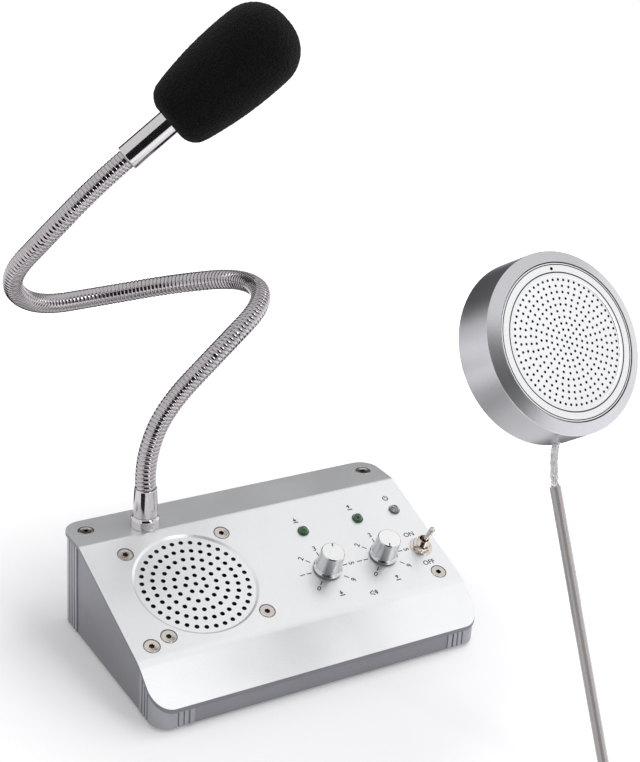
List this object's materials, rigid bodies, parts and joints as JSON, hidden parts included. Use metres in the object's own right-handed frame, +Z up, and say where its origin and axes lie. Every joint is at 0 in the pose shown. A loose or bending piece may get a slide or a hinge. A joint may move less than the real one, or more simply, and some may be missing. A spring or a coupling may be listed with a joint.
{
  "type": "teller window intercom",
  "caption": "Counter intercom: sloping desk unit with speaker, volume knobs and switch, a gooseneck microphone with foam cover, and a round outer unit on its own cord.",
  "frame": {"origin": "centre of the desk unit's footprint, on the counter top under its foot pad", "axes": "+Z up; the teller sits at -Y; +X is the teller's right"},
  "size_m": [0.2073, 0.4248, 0.3007],
  "materials": {
    "pad_rubber": "matt, fine grain",
    "plate_steel": "satin black powder coat",
    "zinc_steel": "bright zinc plate",
    "wall_aluminium": "satin anodised extrusion",
    "post_aluminium": "satin anodised extrusion",
    "panel_aluminium": "satin silver, silk finish",
    "bracket_aluminium": "mill finish",
    "screw_nickel": "bright nickel plate",
    "speaker_steel": "black electro-coat",
    "speaker_paper": "pressed paper pulp",
    "magnet_ferrite": "ground ferrite",
    "lamp_green": "tinted clear epoxy",
    "lamp_clear": "water-clear epoxy",
    "pot_steel": "plated pressing",
    "nut_nickel": "bright nickel plate",
    "switch_plastic": "moulded phenolic, blue",
    "board_green": "solder mask on glass laminate",
    "nylon_white": "moulded nylon",
    "sink_black": "black anodised extrusion",
    "jack_black": "moulded black",
    "neck_chrome": "mirror chrome",
    "hose_chrome": "chromed interlocked strip winding",
    "shaft_steel": "turned",
    "knob_aluminium": "turned and polished",
    "capsule_metal": "drawn can with a felt face",
    "foam_black": "open-cell foam",
    "can_aluminium": "satin turned",
    "trim_aluminium": "bright turned",
    "grille_aluminium": "satin perforated sheet",
    "stick_foam": "self-adhesive foam tape",
    "sleeve_clear": "clear shrink sleeve, crinkled",
    "cord_jacket": "satin grey jacket",
    "plug_black": "moulded black",
    "plug_nickel": "bright nickel plate"
  },
  "bodies": {
    "desk_unit": {"base_pad": "pad_rubber", "base_plate": "plate_steel", "base_screws": "zinc_steel", "post_front_left": "post_aluminium", "post_front_right": "post_aluminium", "post_rear_left": "post_aluminium", "post_rear_right": "post_aluminium", "front_wall": "wall_aluminium", "rear_wall": "wall_aluminium", "left_wall": "wall_aluminium", "right_wall": "wall_aluminium", "top_panel": "panel_aluminium", "panel_brackets": "bracket_aluminium", "panel_screws": "screw_nickel", "speaker_screws": "screw_nickel", "speaker_nuts": "zinc_steel", "desk_speaker_frame": "speaker_steel", "desk_speaker_cone": "speaker_paper", "desk_speaker_magnet": "magnet_ferrite", "call_lamps": "lamp_green", "power_lamp": "lamp_clear", "volume_pots": "pot_steel", "pot_nuts": "nut_nickel", "toggle_body": "switch_plastic", "toggle_bush": "nut_nickel", "toggle_washer": "nut_nickel", "toggle_nut": "nut_nickel", "main_board": "board_green", "board_standoffs": "nylon_white", "amplifier_heat_sink": "sink_black", "line_jack": "jack_black", "dc_jack": "jack_black", "neck_ring": "neck_chrome", "neck_ferrule": "neck_chrome", "neck_lock_nut": "zinc_steel"},
    "internal_volume": {"internal_volume_knob": "knob_aluminium", "internal_pot_shaft": "shaft_steel"},
    "external_volume": {"external_volume_knob": "knob_aluminium", "external_pot_shaft": "shaft_steel"},
    "power_toggle": {"toggle_lever": "nut_nickel"},
    "neck_rise": {"hose_rise": "hose_chrome"},
    "neck_back": {"hose_back": "hose_chrome"},
    "neck_upper": {"hose_upper": "hose_chrome"},
    "microphone": {"mic_collar": "neck_chrome", "mic_capsule": "capsule_metal"},
    "windscreen": {"foam_windscreen": "foam_black"},
    "outer_unit": {"outer_can": "can_aluminium", "outer_trim_ring": "trim_aluminium", "outer_grille": "grille_aluminium", "outer_speaker_frame": "speaker_steel", "outer_speaker_cone": "speaker_paper", "outer_speaker_magnet": "magnet_ferrite", "outer_mic_capsule": "capsule_metal", "outer_stick_pad": "stick_foam", "cord_sleeve": "sleeve_clear", "cord_tube": "cord_jacket", "cord_coil": "cord_jacket", "cord_end": "cord_jacket", "plug_body": "plug_black", "plug_pin": "plug_nickel"}
  },
  "joints": [
    {"name": "internal_volume_turn", "type": "hinge", "parent": "desk_unit", "child": "internal_volume", "pos_m": [0.0236, -0.01266, 0.03599], "axis": [0, 0.342, -0.9397], "range_deg": [-172, 128]},
    {"name": "external_volume_turn", "type": "hinge", "parent": "desk_unit", "child": "external_volume", "pos_m": [0.0567, -0.01266, 0.03599], "axis": [0, 0.342, -0.9397], "range_deg": [0, 300]},
    {"name": "power_toggle_tip", "type": "hinge", "parent": "desk_unit", "child": "power_toggle", "pos_m": [0.0796, -0.01402, 0.03826], "axis": [-1, 0, 0], "range_deg": [0, 24]},
    {"name": "neck_foot_bend", "type": "hinge", "parent": "desk_unit", "child": "neck_rise", "pos_m": [-0.0518, 0.039, 0.0746], "axis": [0, 1, 0], "range_deg": [-20, 20]},
    {"name": "neck_right_bend", "type": "hinge", "parent": "neck_rise", "child": "neck_back", "pos_m": [0.02175, 0.0685, 0.15725], "axis": [-0.455, -0.0948, 0.8854], "range_deg": [-20, 20]},
    {"name": "neck_left_bend", "type": "hinge", "parent": "neck_back", "child": "neck_upper", "pos_m": [-0.08475, 0.12125, 0.1495], "axis": [-0.025, 0.8, 0.5995], "range_deg": [-20, 20]},
    {"name": "microphone_tilt", "type": "hinge", "parent": "neck_upper", "child": "microphone", "pos_m": [-0.0469, 0.07935, 0.2262], "axis": [0.2213, 0.9752, 0], "range_deg": [-25, 25]},
    {"name": "windscreen_pull", "type": "slide", "parent": "microphone", "child": "windscreen", "axis": [0.7422, -0.1684, 0.6487], "range_m": [0, 0.035]},
    {"name": "outer_unit_place", "type": "slide", "parent": "desk_unit", "child": "outer_unit", "axis": [1, 0, 0], "range_m": [0, 0.12]}
  ]
}
